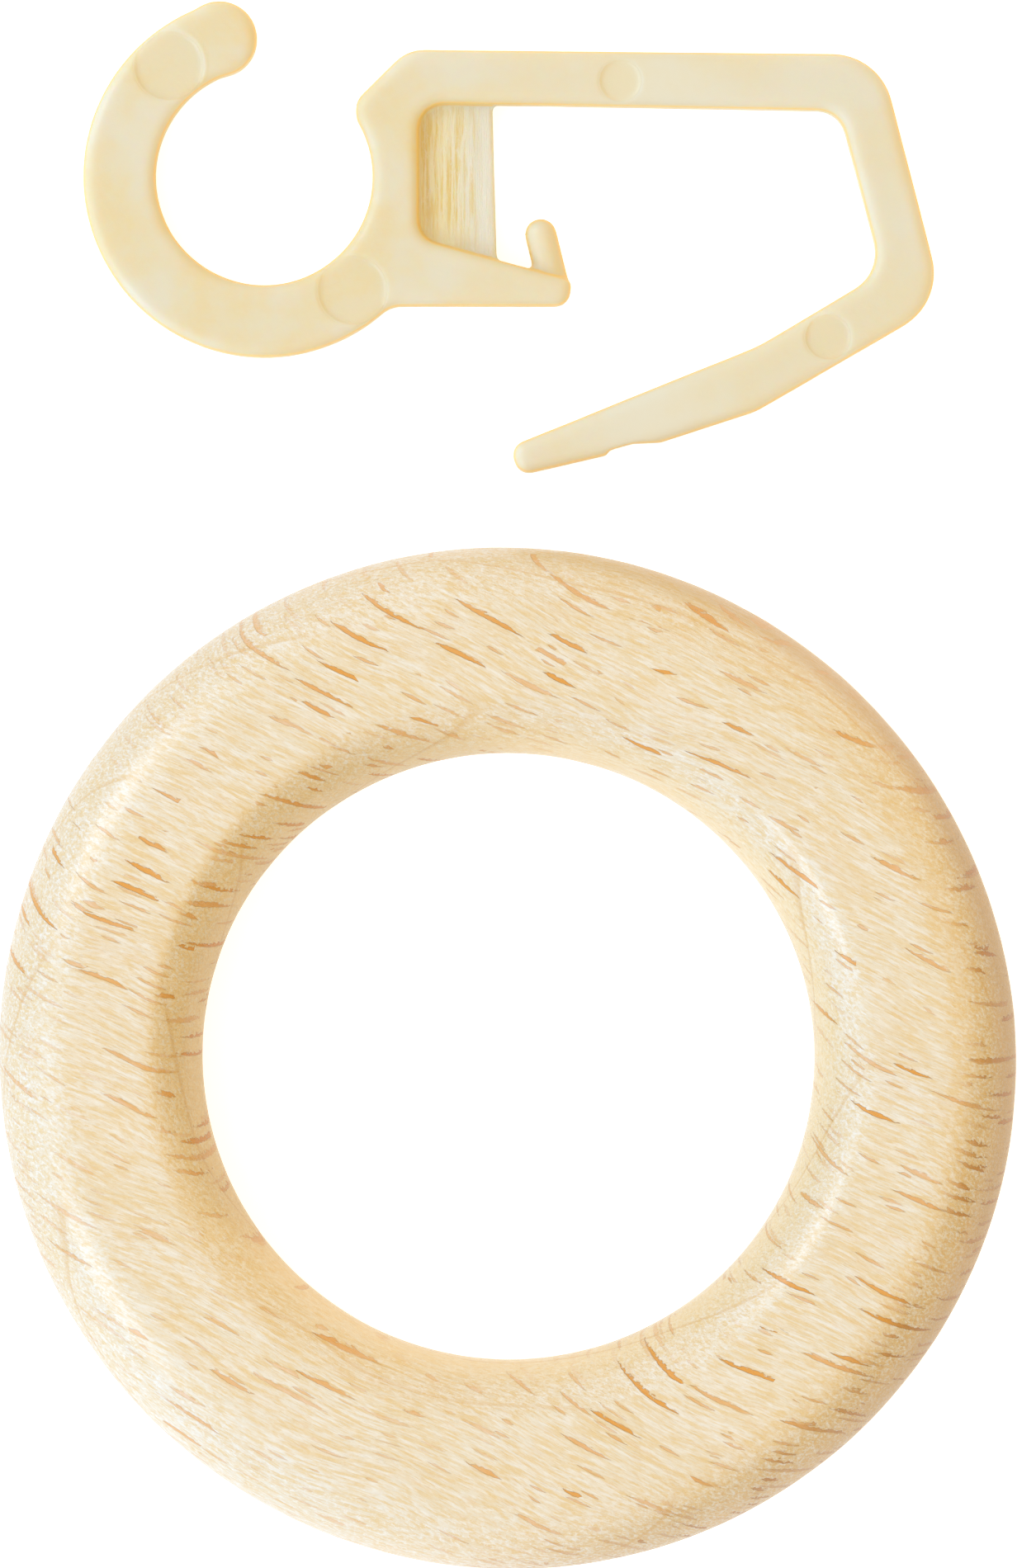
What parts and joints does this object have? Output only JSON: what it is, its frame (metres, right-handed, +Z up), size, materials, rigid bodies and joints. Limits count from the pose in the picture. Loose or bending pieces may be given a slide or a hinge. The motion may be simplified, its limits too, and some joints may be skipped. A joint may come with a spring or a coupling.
{
  "type": "curtain ring with clip hook",
  "caption": "Turned wooden curtain ring with its plastic heading hook lying beside it; the hook's open eye snaps onto the ring and its sprung pin arm closes on a catch.",
  "frame": {"origin": "centre of the ring's bore, at the middle of its thickness", "axes": "+Z up along the ring's axis, away from the surface both pieces lie on; +Y from the ring towards the hook; +X along the hook's top bar, away from its eye"},
  "size_m": [0.06, 0.0922, 0.01],
  "materials": {
    "wood": "satin",
    "hook_plastic": "satin"
  },
  "bodies": {
    "ring": {"wood_ring": "wood"},
    "hook": {"hook_frame": "hook_plastic"},
    "jaw": {"ring_jaw": "hook_plastic"},
    "arm": {"hook_arm": "hook_plastic"}
  },
  "joints": [
    {"name": "hook_lift", "type": "slide", "parent": "ring", "child": "hook", "axis": [0, 0, 1], "range_m": [0, 0.03]},
    {"name": "jaw_flex", "type": "hinge", "parent": "hook", "child": "jaw", "pos_m": [-0.01802, 0.04181, -0.0032], "axis": [0, 0, 1], "range_deg": [0, 15], "stiffness_Nm_per_rad": 0.7},
    {"name": "arm_flex", "type": "hinge", "parent": "hook", "child": "arm", "pos_m": [0.02074, 0.05092, -0.0032], "axis": [0, 0, -1], "range_deg": [0, 19.9], "stiffness_Nm_per_rad": 0.2}
  ]
}
